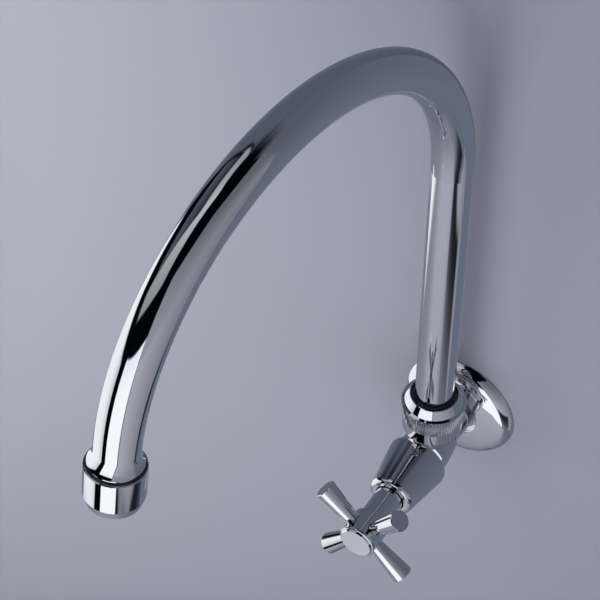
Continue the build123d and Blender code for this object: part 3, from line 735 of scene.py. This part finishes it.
def lightRoom():
    world = bpy.data.worlds.new("studio")
    bpy.context.scene.world = world
    world.use_nodes = True
    tree = world.node_tree
    tree.nodes.clear()
    direction = addNode(tree, "ShaderNodeTexCoord").outputs["Generated"]
    split = addNode(tree, "ShaderNodeSeparateXYZ", {0: direction})
    degreesPerRadian = 180 / math.pi
    outward = doMath(tree, "MULTIPLY", split.outputs["Y"], -1.0)
    azimuth = doMath(tree, "MULTIPLY", doMath(tree, "ARCTAN2", split.outputs["X"], outward),
                     degreesPerRadian)
    elevation = doMath(tree, "MULTIPLY", doMath(tree, "ARCSINE", split.outputs["Z"]),
                       degreesPerRadian)
    panelGroup = makePanelGroup()
    colour = fromSrgb(*studio["rimColour"])
    for name, panel in panels.items():
        values = {**panelDefaults, "topSoftness": panel["softness"], **panel}
        patch = placeGroup(tree, panelGroup, {
            "Azimuth": azimuth, "Elevation": elevation,
            **{socketLabel(key): values[key] for key in panelDefaults},
        })
        patch.name = name
        shade = mixColour(tree, patch.outputs["Fade"], fromSrgb(*panel["colour"]),
                          fromSrgb(*panel.get("farColour", panel["colour"])))
        colour = mixColour(tree, patch.outputs["Mask"], colour, shade)
    path = tree.nodes.new("ShaderNodeLightPath")
    gain = addNode(tree, "ShaderNodeMapRange", {
        "Value": path.outputs["Is Diffuse Ray"],
        "To Min": 1 / studio["reflectedShare"], "To Max": studio["diffuseGain"],
    }).outputs[0]
    lit = addNode(tree, "ShaderNodeBackground", {"Color": colour, "Strength": gain})
    seen = addNode(tree, "ShaderNodeBackground",
                   {"Color": fromSrgb(*studio["backgroundColour"]), "Strength": 1.0})
    mix = addNode(tree, "ShaderNodeMixShader", {
        0: path.outputs["Is Camera Ray"], 1: lit.outputs[0], 2: seen.outputs[0]})
    output = tree.nodes.new("ShaderNodeOutputWorld")
    feed(tree, output, {"Surface": mix.outputs[0]})


# A card close by on the right, which only the chrome sees, darkest in its upper part
sideCard = {
    "distance": 0.205,
    "front": -0.30,
    "back": -0.015,
    "frontFade": 0.05,
    "backFade": 0.03,
    "bottom": -0.26,
    "top": -0.04,
    # Height from bottom to top, colour and cover
    "bands": [(0.0, (108, 110, 120), 0.0), (0.25, (98, 101, 111), 0.8),
              (0.43, (78, 80, 89), 1.0), (0.62, (50, 52, 58), 1.0), (0.80, (26, 27, 33), 1.0),
              (0.90, (30, 31, 37), 1.0), (0.98, (90, 91, 100), 0.0)],
}


def placeSideCard(look):
    side, front, back = look["distance"], look["front"], look["back"]
    bottom, top = look["bottom"], look["top"]
    card = makePlane("sideCard", [(side, front, bottom), (side, back, bottom),
                                  (side, back, top), (side, front, top)])
    card.visible_glossy = True
    card.visible_camera = card.visible_diffuse = False
    card.visible_transmission = card.visible_shadow = False
    material, tree, shader = newMaterial("sideCard")
    tree.nodes.remove(shader)
    split = addNode(tree, "ShaderNodeSeparateXYZ", {0: objectPlace(tree)})
    height = mapRange(tree, split.outputs["Z"], bottom, top)
    ramp = addNode(tree, "ShaderNodeValToRGB", {"Fac": height})
    elements = ramp.color_ramp.elements
    while len(elements) < len(look["bands"]):
        elements.new(0.5)    # its place is set in the next lines
    for element, (place, colour, cover) in zip(elements, look["bands"]):
        element.position = place
        element.color = (*fromSrgb(*colour)[:3], cover)
    ends = [mapRange(tree, split.outputs["Y"], edge, full, interpolation_type="SMOOTHSTEP")
            for edge, full in ((front, front + look["frontFade"]),
                               (back, back - look["backFade"]))]
    cover = doMath(tree, "MULTIPLY", ramp.outputs["Alpha"], doMath(tree, "MULTIPLY", *ends))
    clear = tree.nodes.new("ShaderNodeBsdfTransparent")
    glow = addNode(tree, "ShaderNodeEmission", {
        "Color": ramp.outputs["Color"], "Strength": 1 / studio["reflectedShare"]})
    mix = addNode(tree, "ShaderNodeMixShader",
                  {0: cover, 1: clear.outputs[0], 2: glow.outputs[0]})
    feed(tree, tree.nodes["Material Output"], {"Surface": mix.outputs[0]})
    card.data.materials.append(material)


placeSideCard(sideCard)

# One soft lamp in front and above, which gives the wall the riser's faint shadow;
# the chrome doesn't show it
keyLamp = {
    "place": Vector((0.05, -1.65, 0.6)),
    "aim": Vector((0.0, 0.0, 0.1)),
    "size": 0.9,
    "power": 8.2,
}


def placeLamp(look):
    data = bpy.data.lights.new("keyLamp", "AREA")
    data.size = look["size"]
    data.energy = look["power"]
    holder = bpy.data.objects.new("keyLamp", data)
    bpy.context.collection.objects.link(holder)
    holder.location = look["place"]
    holder.rotation_euler = (look["aim"] - look["place"]).to_track_quat("-Z", "Y").to_euler()
    holder.visible_glossy = False
    holder.visible_camera = False


placeLamp(keyLamp)
lightRoom()
print("studio lit")

# Camera at the photograph's place
camera = {
    "place": Vector((0.307935, -0.657548, 0.866158)),
    "right": Vector((0.850086, 0.526555, 0.009685)),
    "up": Vector((-0.395402, 0.625985, 0.67216)),
    "lens": 142.77,
    "sensor": 36.0,
}


def placeCamera(look):
    data = bpy.data.cameras.new("photoCamera")
    data.lens = look["lens"]
    data.sensor_width = look["sensor"]
    holder = bpy.data.objects.new("photoCamera", data)
    bpy.context.collection.objects.link(holder)
    back = look["right"].cross(look["up"])
    turn = Matrix((look["right"], look["up"], back)).transposed().to_4x4()
    holder.matrix_world = Matrix.Translation(look["place"]) @ turn
    bpy.context.scene.camera = holder


placeCamera(camera)
bpy.context.scene.view_settings.view_transform = "Standard"
